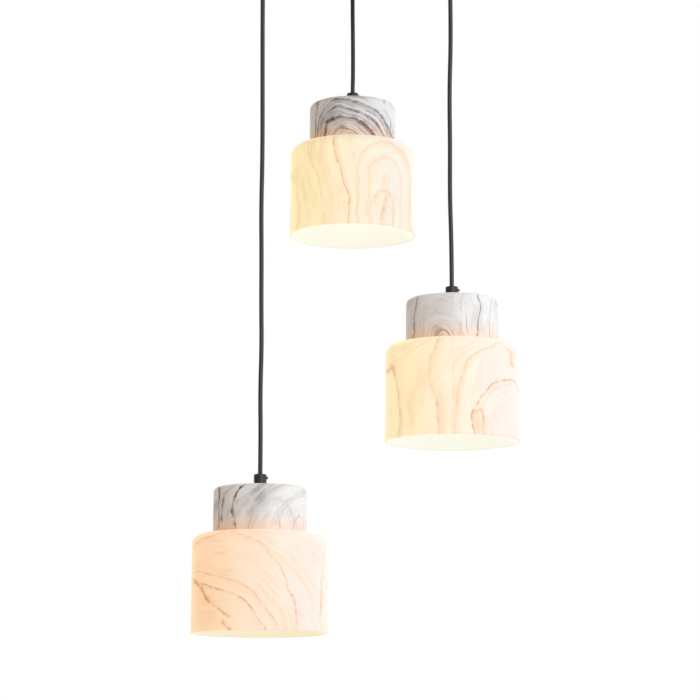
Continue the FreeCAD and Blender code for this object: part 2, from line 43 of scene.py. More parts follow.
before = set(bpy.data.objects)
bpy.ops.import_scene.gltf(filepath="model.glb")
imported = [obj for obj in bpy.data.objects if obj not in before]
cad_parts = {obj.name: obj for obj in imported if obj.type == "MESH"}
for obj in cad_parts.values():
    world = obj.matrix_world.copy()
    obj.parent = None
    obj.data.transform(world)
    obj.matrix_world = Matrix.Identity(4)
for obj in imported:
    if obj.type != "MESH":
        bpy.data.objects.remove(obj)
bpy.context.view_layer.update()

PENDANTS = ("high", "mid", "low")
MM = 0.001


# ---------------------------------------------------------------- places read from the frame


def node_box(node):
    """Lowest and highest corner of a CAD node, in metres."""
    low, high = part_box(node)
    return Vector(low), Vector(high)


def axis_of(pendant):
    """The point where a pendant's axis meets the plane of its bowl's rim."""
    low, high = node_box("lower_bowl_" + pendant)
    return Vector(((low.x + high.x) / 2, (low.y + high.y) / 2, low.z))


BOWL_LOW, BOWL_HIGH = node_box("lower_bowl_low")
CAP_LOW, CAP_HIGH = node_box("upper_cap_low")
BOWL_RADIUS = (BOWL_HIGH.x - BOWL_LOW.x) / 2
BOWL_HEIGHT = BOWL_HIGH.z - BOWL_LOW.z
CAP_HEIGHT = CAP_HIGH.z - CAP_LOW.z
SHOULDER = 12.0     # radius of a bowl's shoulder, in millimetres
WALL = 4.0          # thickness of the stone, in millimetres


# ---------------------------------------------------------------- settings


class StoneSettings(bpy.types.PropertyGroup):
    """Colours of the marbled stone."""

    white: FloatVectorProperty(
        name="White", description="Ground colour of the stone", subtype="COLOR",
        default=(0.90, 0.905, 0.92), min=0, max=1)
    grey: FloatVectorProperty(
        name="Vein", description="Darkest colour of a vein where no light comes through", subtype="COLOR",
        default=(0.10, 0.085, 0.075), min=0, max=1)
    cloud: FloatVectorProperty(
        name="Cloud", description="Soft stain beside a vein", subtype="COLOR",
        default=(0.46, 0.44, 0.43), min=0, max=1)
    # painted light: the lit_ colours are a darker lit copy of the stone's ground, stain and vein colours, and the
    # glow_ colours are painted glow, an emission that stands in for the lamp's light through the bowl's stone
    lit_white: FloatVectorProperty(
        name="Lit white", description="Ground colour of a bowl with its lamp on", subtype="COLOR",
        default=(0.40, 0.40, 0.40), min=0, max=1)
    lit_cloud: FloatVectorProperty(
        name="Lit cloud", description="Stain on a bowl with its lamp on", subtype="COLOR",
        default=(0.30, 0.24, 0.20), min=0, max=1)
    lit_vein: FloatVectorProperty(
        name="Lit vein", description="Vein on a bowl with its lamp on", subtype="COLOR",
        default=(0.14, 0.07, 0.04), min=0, max=1)
    glow_stain: FloatVectorProperty(
        name="Glow stain", description="Light through stained stone", subtype="COLOR",
        default=(0.70, 0.405, 0.18), min=0, max=1)
    glow_vein: FloatVectorProperty(
        name="Glow vein", description="Light through a vein", subtype="COLOR",
        default=(0.54, 0.225, 0.085), min=0, max=1)
    roughness: FloatProperty(
        name="Roughness", description="Roughness of the honed surface", default=0.38, min=0, max=1)
    pores: FloatProperty(
        name="Pores", description="Strength of the fine surface grain", default=0.06, min=0, max=1)


class CordSettings(bpy.types.PropertyGroup):
    """The free cords."""

    diameter: FloatProperty(
        name="Diameter", description="Diameter of the cord", default=0.005, min=0.002, max=0.012,
        unit="LENGTH", precision=4)
    jacket: FloatVectorProperty(
        name="Jacket", description="Colour of the cord's jacket", subtype="COLOR",
        default=(0.022, 0.022, 0.024), min=0, max=1)


class LampSettings(bpy.types.PropertyGroup):
    """The lamps and their holders."""

    light: FloatVectorProperty(
        name="Light", description="Colour of the lit globe", subtype="COLOR",
        default=(1.0, 0.86, 0.62), min=0, max=1)
    strength: FloatProperty(
        name="Strength", description="Brightness of the lit globe", default=1.6, min=0, max=50)
    cap_thread: FloatProperty(
        name="Cap thread", description="Pitch of the lamp's round thread", default=0.003629,
        min=0.002, max=0.005, unit="LENGTH", precision=4)
    skirt_thread: FloatProperty(
        name="Skirt thread", description="Pitch of the thread that the shade ring runs on", default=0.0025,
        min=0.001, max=0.005, unit="LENGTH", precision=4)


class StageSettings(bpy.types.PropertyGroup):
    """Camera, floor and light."""

    lens: FloatProperty(
        name="Lens", description="Focal length of the camera", default=135.46, min=20, max=400,
        unit="CAMERA")
    camera_place: FloatVectorProperty(
        name="Camera", description="Place of the camera", subtype="TRANSLATION", unit="LENGTH",
        default=(-0.0732, -2.944, -0.985))
    tilt: FloatProperty(
        name="Tilt", description="How far the camera looks up", subtype="ANGLE", default=math.radians(9.49))
    turn: FloatProperty(
        name="Turn", description="How far the camera is turned to the right", subtype="ANGLE",
        default=math.radians(1.308))
    floor_drop: FloatProperty(
        name="Floor", description="Height of the ceiling over the floor", default=4.5, min=1, max=6,
        unit="LENGTH")
    floor_colour: FloatVectorProperty(
        name="Floor colour", description="Colour of the pale floor", subtype="COLOR",
        default=(0.86, 0.86, 0.86), min=0, max=1)
    key_power: FloatProperty(
        name="Key light", description="Power of the soft light in front, on the right", default=20.0, min=0,
        max=500, unit="POWER")
    shade_side: FloatVectorProperty(
        name="Shaded side", description="Warm dimmer light of the studio's left side", subtype="COLOR",
        default=(0.42, 0.325, 0.25), min=0, max=1)
    bright_side: FloatVectorProperty(
        name="Bright side", description="Light of the studio behind and on the right", subtype="COLOR",
        default=(1.0, 1.0, 1.0), min=0, max=1)


# ---------------------------------------------------------------- a short way to write materials


class Finish:
    """One node material, with a method for each kind of node that the finishes use."""

    def __init__(self, name):
        self.material = bpy.data.materials.new(name)
        self.material.use_nodes = True
        self.nodes = self.material.node_tree.nodes
        self.links = self.material.node_tree.links
        self.shader = self.nodes["Principled BSDF"]

    def add(self, kind, **settings):
        node = self.nodes.new("ShaderNode" + kind)
        for key, value in settings.items():
            setattr(node, key, value)
        return node

    def put(self, value, socket):
        """Link an output to a socket, or write a plain value into it."""
        if isinstance(value, bpy.types.NodeSocket):
            self.links.new(value, socket)
        elif hasattr(socket.default_value, "__len__") and len(socket.default_value) == 4:
            socket.default_value = (*value, 1.0)
        else:
            socket.default_value = value

    def math(self, operation, *values, clamp=False):
        node = self.add("Math", operation=operation, use_clamp=clamp)
        for value, socket in zip(values, node.inputs):
            self.put(value, socket)
        return node.outputs[0]

    def vector(self, operation, *values):
        node = self.add("VectorMath", operation=operation)
        for value, socket in zip(values, node.inputs):
            self.put(value, socket)
        return node.outputs["Value" if operation in ("LENGTH", "DOT_PRODUCT") else "Vector"]

    def scaled(self, vector, factor):
        node = self.add("VectorMath", operation="SCALE")
        self.put(vector, node.inputs[0])
        self.put(factor, node.inputs["Scale"])
        return node.outputs["Vector"]

    def split(self, vector):
        node = self.add("SeparateXYZ")
        self.put(vector, node.inputs[0])
        return node.outputs["X"], node.outputs["Y"], node.outputs["Z"]

    def joined(self, x, y, z):
        node = self.add("CombineXYZ")
        for value, socket in zip((x, y, z), node.inputs):
            self.put(value, socket)
        return node.outputs[0]

    def noise(self, vector, scale, detail=2.0, roughness=0.5, colour=False):
        node = self.add("TexNoise")
        self.put(vector, node.inputs["Vector"])
        node.inputs["Scale"].default_value = scale
        node.inputs["Detail"].default_value = detail
        node.inputs["Roughness"].default_value = roughness
        return node.outputs["Color" if colour else "Fac"]

    def fade(self, value, start, end, low=0.0, high=1.0):
        """Smooth step of value from low at start to high at end."""
        node = self.add("MapRange", interpolation_type="SMOOTHSTEP", clamp=True)
        names = ("Value", "From Min", "From Max", "To Min", "To Max")
        for given, name in zip((value, start, end, low, high), names):
            self.put(given, node.inputs[name])
        return node.outputs["Result"]

    def mix(self, factor, a, b):
        node = self.add("Mix", data_type="RGBA")
        self.put(factor, node.inputs["Factor"])
        self.put(a, node.inputs[6])
        self.put(b, node.inputs[7])
        return node.outputs[2]

    def curve(self, value, points):
        """Smooth drawn curve through points that lie between 0 and 1 both ways."""
        node = self.add("FloatCurve")
        drawn = node.mapping.curves[0]
        drawn.points[0].location = points[0]
        drawn.points[1].location = points[-1]
        for point in points[1:-1]:
            drawn.points.new(*point)
        node.mapping.update()
        self.put(value, node.inputs["Value"])
        return node.outputs[0]

    def bump(self, height, strength, distance):
        node = self.add("Bump")
        node.inputs["Strength"].default_value = strength
        node.inputs["Distance"].default_value = distance
        self.put(height, node.inputs["Height"])
        self.links.new(node.outputs[0], self.shader.inputs["Normal"])

    def place(self):
        return self.add("TexCoord").outputs["Object"]

    def set(self, **values):
        """Write the shader's own sockets, with _ for each space in their names."""
        for name, value in values.items():
            self.put(value, self.shader.inputs[name.replace("_", " ")])
        return self


# scales of the fine noises on each kind of surface, per metre
PLATE_GRAIN = 900.0
COAT_GRAIN = 1400.0
COAT_PEEL = 700.0
MOTTLE = 260.0
MOULD_GRAIN = 2200.0
STONE_PORES = 1500.0
STONE_WAVES = 70.0
JACKET_SMEAR = 900.0
JACKET_GRAIN = 1600.0
FINE_DEPTH = 0.0002     # height of these surfaces' bump, in metres


def metal(name, colour, scale):
    """Bare or painted metal: the finish, its uneven colour and the noise that it follows."""
    finish = Finish(name)
    grain = finish.noise(finish.place(), scale, 3.0)
    dark = tuple(c * 0.82 for c in colour)
    return finish, finish.mix(finish.fade(grain, 0.3, 0.7), dark, colour), grain


def plated_steel(name, colour, roughness=0.32):
    """Plated metal with the uneven sheen of its bath."""
    finish, tone, grain = metal(name, colour, PLATE_GRAIN)
    finish.set(
        Base_Color=tone, Metallic=1.0,
        Roughness=finish.fade(grain, 0.2, 0.8, roughness - 0.08, roughness + 0.1))
    finish.bump(grain, 0.05, FINE_DEPTH)
    return finish.material


def black_paint(name, colour=(0.024, 0.024, 0.026), roughness=0.4):
    """Satin powder coat: an even black with an orange-peel surface."""
    finish, tone, grain = metal(name, colour, COAT_GRAIN)
    peel = finish.noise(finish.place(), COAT_PEEL, 1.0)
    finish.set(Base_Color=tone, Roughness=finish.fade(grain, 0.2, 0.8, roughness - 0.05, roughness + 0.08))
    finish.bump(peel, 0.12, FINE_DEPTH)
    return finish.material


def moulded(name, colour, roughness=0.45, gloss=0.5):
    """Moulded plastic, porcelain or rubber: faint mottling and a soft surface."""
    finish = Finish(name)
    mottle = finish.noise(finish.place(), MOTTLE, 3.0)
    dark = tuple(c * 0.93 for c in colour)
    finish.set(
        Base_Color=finish.mix(mottle, dark, colour),
        Roughness=finish.fade(mottle, 0.2, 0.8, roughness - 0.05, roughness + 0.07),
        Specular_IOR_Level=gloss,
    )
    finish.bump(finish.noise(finish.place(), MOULD_GRAIN, 1.0), 0.08, FINE_DEPTH)
    return finish.material


def give(node, material):
    """Put a material on a CAD node."""
    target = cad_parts[node]
    target.data.materials.clear()
    target.data.materials.append(material)


def give_each(nodes, material):
    for node in nodes:
        give(node, material)


def give_all(pieces, material):
    """Put a material on these pieces of every pendant."""
    give_each([piece + "_" + pendant for piece in pieces for pendant in PENDANTS], material)


# ---------------------------------------------------------------- marbled stone
#
# A stone's veins are drawn in millimetres from its pendant's axis and from its lower edge, as seen from the
# front. A "fall" runs down the stone through (x, z) points. A "fold" is an arch over vertical legs, as layered
# stone shows where it is cut through a fold: the middle and height of its spring line, its reach to the left and
# right, its rise, and its rings as shares of its size. Each fall and ring has a width, a strength, and the width
# and strength of the stain beside it. A "cloud" is a round stain: x, z, size and strength. "grain" names the fall
# and the fold that the fine layers follow, where across the stone they change from one to the other, and how
# strong the hair lines and the tints of the layers are.

STONES = {
    "lower_bowl_high": {
        "falls": (
            ([(-21, 108), (-23, 92), (-22, 78), (-18, 67), (-13, 48), (-7.5, 35), (-6, 18), (-7.5, -2)],
             0.7, 0.8, 9, 0.5),
            ([(-56, 108), (-50, 80), (-43, 55), (-37, 30), (-35, -2)], 0.8, 0.3, 26, 0.5),
            ([(-69, 108), (-71, 70), (-68, 40), (-70, -2)], 1.0, 0.15, 12, 0.35),
            ([(36, 34), (35, 20), (34, 10), (33, -2)], 3.0, 0.35, 9, 0.4),
        ),
        "folds": (
            (37, 58, 33, 33, 42, (
                (1.0, 1.2, 0.16, 10, 0.6), (0.8, 0.6, 0.1, 5, 0.25), (0.6, 1.0, 0.12, 8, 0.5))),
            (34, 20, 12.5, 12.5, 21, ((1.0, 1.2, 0.22, 9, 0.75),)),
        ),
        "clouds": ((-48, 60, 26, 0.35), (10, 70, 30, 0.3), (33, 20, 14, 0.6)),
        "grain": (0, 0, -2, 12, 0.32, 0.7),
    },
    "lower_bowl_mid": {
        "falls": (
            ([(-17, 108), (-20, 98), (-29, 74), (-27, 54), (-21, 33), (-20, -2)], 1.0, 0.5, 14, 0.6),
            ([(-3.5, 108), (-4, 70), (-3, 46), (-4, 20), (-3.5, -2)], 0.6, 0.3, 3, 0.15),
            ([(52, 108), (43, 100), (25, 91), (13, 78), (9, 67), (2, 52), (0, 34), (-1, -2)],
             0.8, 0.5, 10, 0.5),
            ([(-67, 108), (-67, 74), (-63, 44), (-62, 15), (-64, -2)], 0.9, 0.55, 7, 0.5),
            ([(57, 98), (60, 90), (62, 84), (66, 78)], 2.4, 0.45, 8, 0.6),
        ),
        "folds": (
            (72, 12, 54, 54, 53, ((1.0, 1.0, 0.85, 5, 0.45), (0.9, 0.6, 0.25, 4, 0.2))),
            (25, 2, 6, 6, 24, ((1.0, 1.6, 0.5, 9, 0.8),)),
        ),
        "clouds": ((-36, 60, 18, 0.45), (-22, 50, 14, 0.4), (25, 8, 12, 1.0)),
        "grain": (2, 0, 22, 40, 0.25, 0.7),
    },
    "lower_bowl_low": {
        "falls": (
            ([(70, 96), (70, 75), (70, 36), (69, 10)], 0.9, 0.5, 4, 0.35),
            ([(28, 52), (30, 47), (34, 36), (38, 24), (40, 16)], 1.3, 0.75, 5, 0.4),
            ([(-72, 54), (-66, 46), (-57, 36), (-48, 27), (-38, 19), (-33, 15)], 3.4, 0.85, 14, 1.0),
            ([(-40, 11), (-38, 6), (-30, 0), (-28, -2)], 2.6, 0.6, 9, 0.8),
        ),
        "folds": (
            (-34, -20, 78, 78, 126, ((1.0, 0.8, 0.4, 9, 0.45), (0.82, 0.6, 0.2, 5, 0.25))),
            (-68, -30, 95, 95, 92, ((1.0, 0.8, 0.5, 9, 0.45), (0.86, 1.2, 0.7, 7, 0.5))),
        ),
        "clouds": ((-56, 24, 24, 0.7), (2, 14, 16, 0.45), (-50, 66, 30, 0.3)),
        "grain": (None, 1, 0, 0, 0.3, 0.7),
    },
    "upper_cap_high": {
        "falls": (
            ([(35, 54), (39, 40), (47, 28), (50, 5), (50, -2)], 1.0, 0.6, 3, 0.3),
            ([(-49, 54), (-46, 44), (-48, 20), (-50, -2)], 1.5, 0.6, 5, 0.6),
        ),
        "folds": (
            (-16, -14, 31, 70, 60, (
                (1.0, 1.7, 0.75, 6, 0.5), (0.93, 0.8, 0.5, 3, 0.3), (0.84, 1.6, 0.8, 5, 0.6),
                (0.74, 0.8, 0.5, 3, 0.4), (0.65, 2.6, 0.95, 8, 0.9), (0.52, 0.9, 0.6, 3, 0.5),
                (0.4, 1.2, 0.7, 5, 0.7))),
        ),
        "clouds": ((-16, 14, 12, 1.0), (-26, 22, 26, 0.55), (10, 26, 30, 0.12)),
        "grain": (None, 0, 0, 0, 0.9, 0.9),
    },
    "upper_cap_mid": {
        "falls": (
            ([(23, 53), (26, 44), (29, 34), (28, 19), (23, -2)], 0.9, 0.95, 4, 0.4),
            ([(14, 30), (14.3, 22), (14.2, 13), (15, 4)], 0.7, 0.5, 2, 0.2),
            ([(43, 53), (43.5, 36), (43, 5), (43.5, -2)], 0.7, 0.5, 3, 0.2),
            ([(-43, 53), (-44, 42), (-47, 4), (-47, -2)], 1.2, 0.85, 4, 0.5),
            ([(-8, 46), (-3, 42), (6, 36), (9, 33)], 0.9, 0.55, 3, 0.2),
        ),
        "folds": (
            (-15, -6, 20, 26, 34, (
                (1.0, 0.7, 0.25, 6, 0.2), (0.62, 0.8, 0.4, 5, 0.35), (0.4, 1.0, 0.55, 4, 0.5))),
        ),
        "clouds": ((-20, 6, 10, 0.9), (-14, 22, 26, 0.3)),
        "grain": (0, 0, 14, -4, 0.55, 0.5),
    },
    "upper_cap_low": {
        "falls": (
            ([(-14, 54), (-21, 46), (-26, 35), (-27, 24), (-26, -2)], 1.5, 1.0, 4, 0.45),
            ([(-40, 36), (-41, 28), (-42, 20), (-43, 8)], 2.2, 0.75, 5, 0.4),
            ([(-47, 53), (-48, 30), (-48, 12), (-48.5, -2)], 1.2, 0.8, 4, 0.5),
            ([(22, 26), (23, 18), (22, 8), (23, -2)], 0.7, 0.4, 4, 0.2),
            ([(48, 18), (44, 12), (40, 6), (38, -2)], 1.0, 0.45, 6, 0.35),
            ([(30, 54), (14, 44), (0, 30), (-10, 12), (-14, -2)], 1.0, 0.2, 14, 0.45),
        ),
        "folds": ((8, -10, 38, 38, 48, ((1.0, 3.0, 0.15, 10, 0.2),)),),
        "clouds": ((0, 42, 22, 0.8), (-10, 24, 18, 0.6)),
        "grain": (5, 0, 60, 90, 0.55, 0.9),
    },
}

# painted glow of each bowl, set apart for each: its colour on the shaded left side, on the right side, painted
# whiter where the key light falls, and on the inner wall
GLOWS = {
    "high": ((0.75, 0.62, 0.29), (0.54, 0.51, 0.43), (0.58, 0.58, 0.47)),
    "mid": ((0.74, 0.60, 0.30), (0.56, 0.49, 0.44), (0.58, 0.58, 0.49)),
    "low": ((0.74, 0.47, 0.24), (0.54, 0.47, 0.40), (0.57, 0.49, 0.31)),
}


FRONT, BACK = -60.0, 35.0       # between these depths, in millimetres, the layers begin to wander
WANDER = (0.014, 1.0, 0.5, 105.0)   # a noise's scale, detail and roughness, and how far it moves the layers
SWAY = (0.04, 1.0, 0.4, 9.0)
SHAKE = (0.22, 2.0, 0.5, 1.6)


def shift(finish, place, scale, detail, roughness):
    """A noise vector that moves the stone's layers to all sides alike."""
    noise = finish.noise(place, scale, detail, roughness, colour=True)
    return finish.vector("SUBTRACT", noise, (0.5, 0.5, 0.5))


def stone_place(finish, piece, pendant):
    """Millimetres from the pendant's axis and the stone's lower edge, and the same shifted by its unevenness.

    Towards the back the layers wander freely, so the far side isn't the front seen through.
    """
    centre = axis_of(pendant)
    if piece == "upper_cap":
        centre.z += BOWL_HEIGHT
    mapping = finish.add("Mapping", vector_type="POINT")
    mapping.inputs["Location"].default_value = tuple(-c / MM for c in centre)
    mapping.inputs["Scale"].default_value = (1 / MM, 1 / MM, 1 / MM)
    finish.put(finish.place(), mapping.inputs["Vector"])
    place = mapping.outputs["Vector"]
    y = finish.split(place)[1]
    far = finish.fade(y, FRONT, BACK, 0.0, WANDER[-1])
    uneven = finish.scaled(shift(finish, place, *WANDER[:-1]), far)
    for *look, reach in (SWAY, SHAKE):
        uneven = finish.vector("ADD", uneven, finish.scaled(shift(finish, place, *look), reach))
    return place, finish.vector("ADD", place, uneven)


STAIN_BACK = 0.35       # how far a stain reaches past its vein, over its width
FAINT = 0.45            # strength of a vein where it is broken
RUN_OUT = 3.0           # length, in millimetres, over which a fall ends


def line(finish, away, width, strength, stain, stain_strength, broken):
    """A vein's dark line and the stain along one side of it, from the distance to the vein's middle."""
    distance = finish.math("ABSOLUTE", away)
    wide = finish.math("MULTIPLY", broken, width)
    core = finish.fade(distance, wide, 0.0, 0.0, strength)
    core = finish.math("MULTIPLY", core, finish.fade(broken, 0.5, 1.5, FAINT, 1.0))
    outer = finish.fade(away, 0.0, stain, stain_strength, 0.0)
    side = finish.fade(away, -STAIN_BACK * stain, 0.0, 0.0, 1.0)
    return core, finish.math("MULTIPLY", outer, side)


def fall_away(finish, x, z, points):
    """Distance across the stone to a fall."""
    xs, zs = [p[0] for p in points], [p[1] for p in points]
    left, right, bottom, top = min(xs) - 1, max(xs) + 1, min(zs), max(zs)
    drawn = [((p[1] - bottom) / (top - bottom), (p[0] - left) / (right - left)) for p in reversed(points)]
    share = finish.math("DIVIDE", finish.math("SUBTRACT", z, bottom), top - bottom, clamp=True)
    at = finish.math("MULTIPLY_ADD", finish.curve(share, drawn), right - left, left)
    return finish.math("SUBTRACT", x, at)


def fold_share(finish, x, z, middle, spring, left, right, rise):
    """How far out in a fold a point lies: 0 at its core and 1 on its outer arch."""
    off = finish.math("SUBTRACT", x, middle)
    across = finish.math("MAXIMUM", finish.math("DIVIDE", off, right), finish.math("DIVIDE", off, -left))
    up = finish.math("DIVIDE", finish.math("MAXIMUM", finish.math("SUBTRACT", z, spring), 0.0), rise)
    return finish.vector("LENGTH", finish.joined(across, up, 0.0))


def strongest(finish, values):
    """The greatest of some values at each point."""
    total = values[0]
    for value in values[1:]:
        total = finish.math("MAXIMUM", total, value)
    return total


HAIRS = ((0.5, 0.03, 0.5), (0.6, 0.025, 0.35))   # hair lines: level in the fine layers, width and strength
ALONG = (0.05, 0.10)        # how much the layers change along z and y, over their change across


def marbling(finish, piece, pendant):
    """How much vein and how much stain each point of a stone has, and its place in millimetres."""
    stone = STONES[piece + "_" + pendant]
    place, moved = stone_place(finish, piece, pendant)
    x, y, z = finish.split(moved)
    broken = finish.fade(finish.noise(place, 0.11, 4.0, 0.6), 0.32, 0.68, 0.4, 1.8)
    veins, stains, aways, outs = [], [], [], []
    for points, *look in stone["falls"]:
        away = fall_away(finish, x, z, points)
        core, soft = line(finish, away, *look, broken)
        low, high = points[-1][1], points[0][1]
        starts = finish.fade(z, low - RUN_OUT, low + RUN_OUT)
        reach = finish.math("MULTIPLY", starts, finish.fade(z, high + RUN_OUT, high - RUN_OUT))
        veins.append(finish.math("MULTIPLY", core, reach))
        stains.append(finish.math("MULTIPLY", soft, reach))
        aways.append(away)
    for middle, spring, left, right, rise, rings in stone["folds"]:
        share = fold_share(finish, x, z, middle, spring, left, right, rise)
        size = (left + rise) / 2
        for ring, *look in rings:
            away = finish.math("MULTIPLY", finish.math("SUBTRACT", ring, share), size)
            core, soft = line(finish, away, *look, broken)
            veins.append(core)
            stains.append(soft)
        outs.append(finish.math("MULTIPLY", share, size))
    fall, fold, start, end, hairs, tint = stone["grain"]
    layer = outs[fold]
    if fall is not None:
        node = finish.add("Mix", data_type="FLOAT")
        finish.put(finish.fade(x, float(start), float(end)), node.inputs["Factor"])
        finish.put(aways[fall], node.inputs["A"])
        finish.put(layer, node.inputs["B"])
        layer = node.outputs["Result"]
    # layers: noise stretched along the grain, so its lines and tints run with the drawn veins
    down, deep = ALONG
    along = finish.joined(layer, finish.math("MULTIPLY", z, down), finish.math("MULTIPLY", y, deep))
    fine_layers = finish.noise(along, 0.16, 3.0, 0.5)
    broad_layers = finish.noise(along, 0.05, 2.0, 0.5)
    patchy = finish.fade(finish.noise(place, 0.035, 2.0, 0.5), 0.36, 0.64, 0.15, 1.0)
    fine = []
    for level, width, strength in HAIRS:
        ridge = finish.math("ABSOLUTE", finish.math("SUBTRACT", fine_layers, level))
        fine.append(finish.fade(ridge, width, 0.0, 0.0, strength * hairs))
    veins.append(finish.math("MULTIPLY", strongest(finish, fine), patchy))
    stains.append(finish.math("MULTIPLY", finish.fade(broad_layers, 0.46, 0.7, 0.0, 0.7 * tint), patchy))
    for cloud_x, cloud_z, size, strength in stone["clouds"]:
        up = finish.math("MULTIPLY", finish.math("SUBTRACT", z, float(cloud_z)), 0.7)
        off = finish.vector("LENGTH", finish.joined(finish.math("SUBTRACT", x, float(cloud_x)), up, 0.0))
        stains.append(finish.fade(off, float(size), 0.0, 0.0, strength))
    streaks = finish.fade(fine_layers, 0.3, 0.66, 0.3, 1.2)
    stain = finish.math("MULTIPLY", strongest(finish, stains), streaks, clamp=True)
    return strongest(finish, veins), stain, place


def honed(finish, settings):
    """The stone's dull gloss, with its pores and the waves that grinding leaves."""
    pores = finish.noise(finish.place(), STONE_PORES, 3.0, 0.6)
    waves = finish.noise(finish.place(), STONE_WAVES, 2.0)
    finish.set(
        Roughness=finish.fade(pores, 0.25, 0.75, settings.roughness - 0.06, settings.roughness + 0.08),
        Specular_IOR_Level=0.3)
    finish.bump(finish.math("MULTIPLY_ADD", waves, 0.5, pores), settings.pores, 0.0003)


SKIN = 0.3          # share of the wall at each face that has that face's own colours


def bowl_stone(pendant, settings):
    """Bowl stone with painted glow, an emission on stone that is no lamp standing in for the lamp's light through
    it: cream where it is bare, orange through its stains, brown through its veins.
    """
    finish = Finish("bowl stone " + pendant)
    vein, stain, place = marbling(finish, "lower_bowl", pendant)
    x, y, z = finish.split(place)
    # painted light: these ground colours are a darker lit copy of the stone's, for under the painted glow
    tone = finish.mix(finish.math("MULTIPLY", stain, 0.4), settings.lit_white, settings.lit_cloud)
    tone = finish.mix(vein, tone, settings.lit_vein)
    shaded_side_glow, clear, inside = GLOWS[pendant]
    # painted light: the glow runs from the shaded left side's colour to the whiter colour of the right side
    # (clear), where the key light falls
    bare = finish.mix(finish.fade(x, -70.0, 70.0), shaded_side_glow, clear)
    glow = finish.mix(stain, bare, settings.glow_stain)
    glow = finish.mix(vein, glow, settings.glow_vein)
    # the inner and the outer wall run at even distances round the shoulder's centre
    outward = finish.vector("LENGTH", finish.joined(x, y, 0.0))
    sideways = finish.math("MAXIMUM", finish.math("SUBTRACT", outward, BOWL_RADIUS / MM - SHOULDER), 0.0)
    upwards = finish.math("MAXIMUM", finish.math("SUBTRACT", z, BOWL_HEIGHT / MM - SHOULDER), 0.0)
    depth = finish.vector("LENGTH", finish.joined(sideways, upwards, 0.0))
    outside = finish.fade(depth, SHOULDER - (1 - SKIN) * WALL, SHOULDER - SKIN * WALL)
    # painted light: the inner wall gets the lit ground and its own painted glow (inside); the outer wall gets the
    # lit veined ground and the painted glow through its stains and veins
    finish.set(
        Base_Color=finish.mix(outside, settings.lit_white, tone),
        Emission_Color=finish.mix(outside, inside, glow), Emission_Strength=1.0)
    honed(finish, settings)
    return finish.material


FOOT_TOP, FOOT_BOTTOM = 0.5, -0.1   # where the painted warm glow at a cap's foot starts and is full, over its height
# painted light: warm-tinted copies of the cloud, vein and white colours, and an emission, paint the lamp's light
# that comes through the bowl's shoulder onto the cap's foot
FOOT_GLOW_CLOUD, FOOT_GLOW_VEIN, FOOT_GLOW_WHITE = (0.66, 0.38, 0.26), (0.30, 0.10, 0.05), (0.86, 0.72, 0.62)
FOOT_GLOW, FOOT_STRENGTH = (1.0, 0.42, 0.2), 0.08


def cap_stone(pendant, settings):
    """The same stone above the lamp: grey veins on white, with a little painted warm glow at its foot, in its
    colours and as emission.
    """
    finish = Finish("cap stone " + pendant)
    vein, stain, place = marbling(finish, "upper_cap", pendant)
    z = finish.split(place)[2]
    # painted light: the warm glow fades upwards from the cap's foot
    foot = finish.fade(z, FOOT_TOP * CAP_HEIGHT / MM, FOOT_BOTTOM * CAP_HEIGHT / MM)
    cloud = finish.mix(foot, settings.cloud, FOOT_GLOW_CLOUD)
    dark = finish.mix(foot, settings.grey, FOOT_GLOW_VEIN)
    white = finish.mix(foot, settings.white, FOOT_GLOW_WHITE)
    tone = finish.mix(stain, white, cloud)
    tone = finish.mix(vein, tone, dark)
    finish.set(
        Base_Color=tone, Emission_Color=FOOT_GLOW,
        Emission_Strength=finish.math("MULTIPLY", foot, FOOT_STRENGTH))
    honed(finish, settings)
    return finish.material


class PENDANT_OT_stone(bpy.types.Operator):
    """Give the caps and bowls their marbled stone"""

    bl_idname = "pendant.stone"
    bl_label = "Stone shades"

    def execute(self, context):
        settings = context.scene.pendant_stone
        for pendant in PENDANTS:
            give("lower_bowl_" + pendant, bowl_stone(pendant, settings))
            give("upper_cap_" + pendant, cap_stone(pendant, settings))
        return {"FINISHED"}


# ---------------------------------------------------------------- cords

# (share of the way down, sideways and fore-and-aft offset in millimetres): the slight waves of a taut cord
CORD_WAVES = {
    "high": (
        (0.0, 0.0, 0.0), (0.15, 0.0, 0.0), (0.32, 0.3, 0.1), (0.5, 0.5, 0.0), (0.66, 0.4, 0.0),
        (0.76, 0.0, 0.0), (0.88, 0.0, 0.0), (1.0, 0.0, 0.0)),
    "mid": (
        (0.0, 0.0, 0.0), (0.08, 0.2, 0.0), (0.18, 0.6, 0.0), (0.28, 0.5, 0.2), (0.37, -0.9, 0.3),
        (0.45, -1.2, 0.0), (0.54, -0.9, -0.2), (0.67, -1.5, 0.0), (0.78, -0.3, 0.2), (0.86, 0.0, 0.0),
        (0.91, 0.0, 0.0), (1.0, 0.0, 0.0)),
    "low": (
        (0.0, 0.0, 0.0), (0.1, -0.3, 0.0), (0.22, 0.0, 0.2), (0.38, 0.6, 0.0), (0.48, -0.6, -0.3),
        (0.56, 0.1, 0.0), (0.65, 0.1, 0.0), (0.72, 0.8, 0.2), (0.8, -0.5, 0.0), (0.87, 0.2, 0.0),
        (0.93, 0.0, 0.0), (1.0, 0.0, 0.0)),
}
CORD_ROUND = 6      # roundness of the cord's section
CORD_STEPS = 12     # steps between two points of its line


def jacket_material(settings):
    """Smooth extruded rubber with faint smears along it."""
    finish = Finish("cord jacket")
    place = finish.place()
    smear = finish.noise(finish.vector("MULTIPLY", place, (1.0, 1.0, 0.12)), JACKET_SMEAR, 3.0)
    light = tuple(c * 1.6 for c in settings.jacket)
    finish.set(
        Base_Color=finish.mix(smear, settings.jacket, light),
        Roughness=finish.fade(smear, 0.2, 0.8, 0.36, 0.5))
    finish.bump(finish.noise(place, JACKET_GRAIN, 2.0), 0.1, FINE_DEPTH)
    return finish.material


